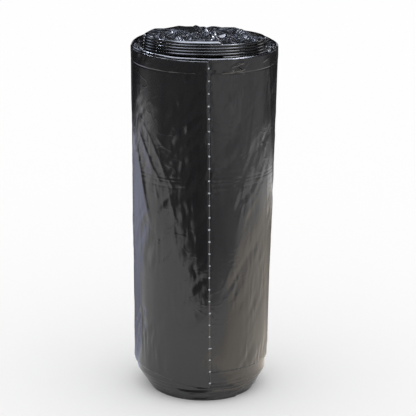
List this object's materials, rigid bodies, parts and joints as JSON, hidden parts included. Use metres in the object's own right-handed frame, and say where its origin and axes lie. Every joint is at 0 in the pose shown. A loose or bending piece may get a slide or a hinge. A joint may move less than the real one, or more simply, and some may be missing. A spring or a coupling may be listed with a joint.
{
  "type": "bin bag roll",
  "caption": "Coreless roll of heavy black polythene refuse sacks, standing on its end, with a torn free end down the front.",
  "frame": {"origin": "under the middle of the foot, on the surface that the roll stands on", "axes": "+Z is the roll's axis, upwards; -Y is the front, where the free end runs down; +X is to the right seen from the front"},
  "size_m": [0.1235, 0.1244, 0.3126],
  "materials": {
    "film": "gloss"
  },
  "bodies": {
    "root": {"bag_roll": "film"}
  },
  "joints": []
}
